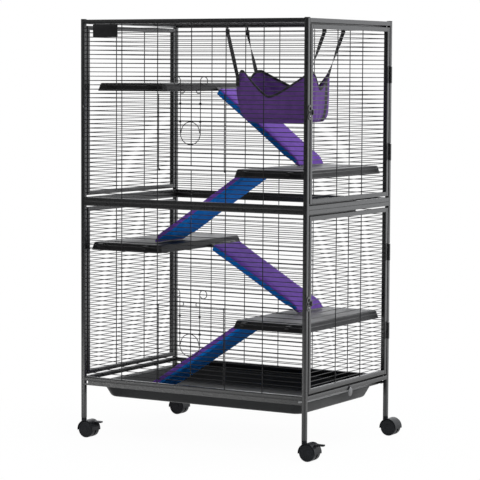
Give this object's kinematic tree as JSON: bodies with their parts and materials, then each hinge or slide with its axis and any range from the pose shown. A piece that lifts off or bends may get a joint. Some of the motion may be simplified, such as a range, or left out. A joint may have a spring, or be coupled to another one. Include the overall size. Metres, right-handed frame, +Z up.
{
  "type": "small animal cage",
  "caption": "Two-storey wire cage on casters with doors, platforms, covered ramps, a hanging pouch and a slide-out tray for small animals.",
  "frame": {"origin": "on the floor under the middle of the frame", "axes": "+X towards the end with the big doors, -Y towards the long front with the small doors, +Z up"},
  "size_m": [0.8318, 0.5544, 1.252],
  "materials": {
    "frame_paint": "satin",
    "wire_paint": "satin",
    "steel": "satin",
    "platform_plastic": "matte",
    "tray_plastic": "matte",
    "cap_plastic": "matte",
    "board": "satin",
    "ramp_fabric": "matte",
    "hammock_fabric": "matte",
    "strap_fabric": "matte",
    "caster_plastic": "satin",
    "wheel_plastic": "matte"
  },
  "bodies": {
    "cage": {"upper_frame": "frame_paint", "lower_frame": "frame_paint", "corner_caps": "cap_plastic", "joint_screws": "steel", "legs": "frame_paint", "tray_runners": "frame_paint", "roof_grille": "wire_paint", "front_upper_grille": "wire_paint", "front_lower_grille": "wire_paint", "back_upper_grille": "wire_paint", "back_lower_grille": "wire_paint", "left_upper_frame": "frame_paint", "left_upper_grille": "wire_paint", "left_lower_frame": "frame_paint", "left_lower_grille": "wire_paint", "platform_upper_left": "platform_plastic", "platform_upper_right": "platform_plastic", "platform_lower_left": "platform_plastic", "platform_lower_right": "platform_plastic", "post_hinge_leaves": "frame_paint", "hinge_pins": "steel", "keeper_studs": "steel", "hammock": "hammock_fabric", "hammock_straps": "strap_fabric", "hammock_clips": "steel"},
    "lower_door": {"lower_door_frame": "frame_paint", "lower_door_grille": "wire_paint", "lower_door_hinge_leaves": "frame_paint"},
    "lower_hasp": {"lower_hasp": "frame_paint"},
    "lower_small_door": {"lower_small_door": "wire_paint"},
    "lower_wire_clip": {"lower_wire_clip": "wire_paint"},
    "upper_door": {"upper_door_frame": "frame_paint", "upper_door_grille": "wire_paint", "upper_door_hinge_leaves": "frame_paint"},
    "upper_hasp": {"upper_hasp": "frame_paint"},
    "upper_small_door": {"upper_small_door": "wire_paint"},
    "upper_wire_clip": {"upper_wire_clip": "wire_paint"},
    "tray": {"tray": "tray_plastic"},
    "tray_lock": {"tray_lock": "frame_paint"},
    "caster_front_left": {"caster_front_left_fork": "caster_plastic"},
    "wheels_front_left": {"caster_front_left_wheels": "wheel_plastic"},
    "brake_front_left": {"caster_front_left_brake": "caster_plastic"},
    "caster_front_right": {"caster_front_right_fork": "caster_plastic"},
    "wheels_front_right": {"caster_front_right_wheels": "wheel_plastic"},
    "brake_front_right": {"caster_front_right_brake": "caster_plastic"},
    "caster_back_left": {"caster_back_left_fork": "caster_plastic"},
    "wheels_back_left": {"caster_back_left_wheels": "wheel_plastic"},
    "caster_back_right": {"caster_back_right_fork": "caster_plastic"},
    "wheels_back_right": {"caster_back_right_wheels": "wheel_plastic"},
    "ramp_1": {"ramp_1_board": "board", "ramp_1_cover": "ramp_fabric"},
    "ramp_2": {"ramp_2_board": "board", "ramp_2_cover": "ramp_fabric"},
    "ramp_3": {"ramp_3_board": "board", "ramp_3_cover": "ramp_fabric"},
    "ramp_4": {"ramp_4_board": "board", "ramp_4_cover": "ramp_fabric"}
  },
  "joints": [
    {"name": "lower_door_hinge", "type": "hinge", "parent": "cage", "child": "lower_door", "pos_m": [0.389, 0.2473, 0.44], "axis": [0, 0, 1], "range_deg": [0, 165]},
    {"name": "lower_hasp_hinge", "type": "hinge", "parent": "lower_door", "child": "lower_hasp", "pos_m": [0.38815, -0.23705, 0.44605], "axis": [0, 0, 1], "range_deg": [0, 150]},
    {"name": "lower_small_door_hinge", "type": "hinge", "parent": "cage", "child": "lower_small_door", "pos_m": [0, -0.25615, 0.19556], "axis": [1, 0, 0], "range_deg": [0, 85]},
    {"name": "lower_clip_slide", "type": "slide", "parent": "lower_small_door", "child": "lower_wire_clip", "axis": [0, 0, 1], "range_m": [0, 0.02]},
    {"name": "upper_door_hinge", "type": "hinge", "parent": "cage", "child": "upper_door", "pos_m": [0.389, 0.2473, 0.98], "axis": [0, 0, 1], "range_deg": [0, 165]},
    {"name": "upper_hasp_hinge", "type": "hinge", "parent": "upper_door", "child": "upper_hasp", "pos_m": [0.38815, -0.23705, 0.98606], "axis": [0, 0, 1], "range_deg": [0, 150]},
    {"name": "upper_small_door_hinge", "type": "hinge", "parent": "cage", "child": "upper_small_door", "pos_m": [0, -0.25615, 0.81276], "axis": [1, 0, 0], "range_deg": [0, 85]},
    {"name": "upper_clip_slide", "type": "slide", "parent": "upper_small_door", "child": "upper_wire_clip", "axis": [0, 0, 1], "range_m": [0, 0.02]},
    {"name": "tray_slide", "type": "slide", "parent": "cage", "child": "tray", "axis": [-1, 0, 0], "range_m": [0, 0.47]},
    {"name": "tray_lock_turn", "type": "hinge", "parent": "cage", "child": "tray_lock", "pos_m": [0.3863, 0.005, 0.17635], "axis": [1, 0, 0], "range_deg": [-90, 90]},
    {"name": "caster_front_left_swivel", "type": "hinge", "parent": "cage", "child": "caster_front_left", "pos_m": [-0.37865, -0.25615, 0.057], "axis": [0, 0, 1], "continuous": true},
    {"name": "caster_front_left_roll", "type": "hinge", "parent": "caster_front_left", "child": "wheels_front_left", "pos_m": [-0.36115, -0.25615, 0.025], "axis": [0, 1, 0], "continuous": true},
    {"name": "caster_front_left_brake_press", "type": "hinge", "parent": "caster_front_left", "child": "brake_front_left", "pos_m": [-0.33923, -0.25615, 0.04692], "axis": [0, 1, 0], "range_deg": [0, 15]},
    {"name": "caster_front_right_swivel", "type": "hinge", "parent": "cage", "child": "caster_front_right", "pos_m": [0.37865, -0.25615, 0.057], "axis": [0, 0, 1], "continuous": true},
    {"name": "caster_front_right_roll", "type": "hinge", "parent": "caster_front_right", "child": "wheels_front_right", "pos_m": [0.39615, -0.25615, 0.025], "axis": [0, 1, 0], "continuous": true},
    {"name": "caster_front_right_brake_press", "type": "hinge", "parent": "caster_front_right", "child": "brake_front_right", "pos_m": [0.41807, -0.25615, 0.04692], "axis": [0, 1, 0], "range_deg": [0, 15]},
    {"name": "caster_back_left_swivel", "type": "hinge", "parent": "cage", "child": "caster_back_left", "pos_m": [-0.37865, 0.25615, 0.057], "axis": [0, 0, 1], "continuous": true},
    {"name": "caster_back_left_roll", "type": "hinge", "parent": "caster_back_left", "child": "wheels_back_left", "pos_m": [-0.36115, 0.25615, 0.025], "axis": [0, 1, 0], "continuous": true},
    {"name": "caster_back_right_swivel", "type": "hinge", "parent": "cage", "child": "caster_back_right", "pos_m": [0.37865, 0.25615, 0.057], "axis": [0, 0, 1], "continuous": true},
    {"name": "caster_back_right_roll", "type": "hinge", "parent": "caster_back_right", "child": "wheels_back_right", "pos_m": [0.39615, 0.25615, 0.025], "axis": [0, 1, 0], "continuous": true},
    {"name": "ramp_1_lift", "type": "hinge", "parent": "cage", "child": "ramp_1", "pos_m": [-0.096, 0.11, 1.04919], "axis": [0, -1, 0], "range_deg": [0, 25]},
    {"name": "ramp_2_lift", "type": "hinge", "parent": "cage", "child": "ramp_2", "pos_m": [0.121, -0.081, 0.80475], "axis": [0, 1, 0], "range_deg": [0, 25]},
    {"name": "ramp_3_lift", "type": "hinge", "parent": "cage", "child": "ramp_3", "pos_m": [-0.113, 0.11, 0.57351], "axis": [0, -1, 0], "range_deg": [0, 25]},
    {"name": "ramp_4_lift", "type": "hinge", "parent": "cage", "child": "ramp_4", "pos_m": [0.121, -0.081, 0.36767], "axis": [0, 1, 0], "range_deg": [0, 25]}
  ]
}
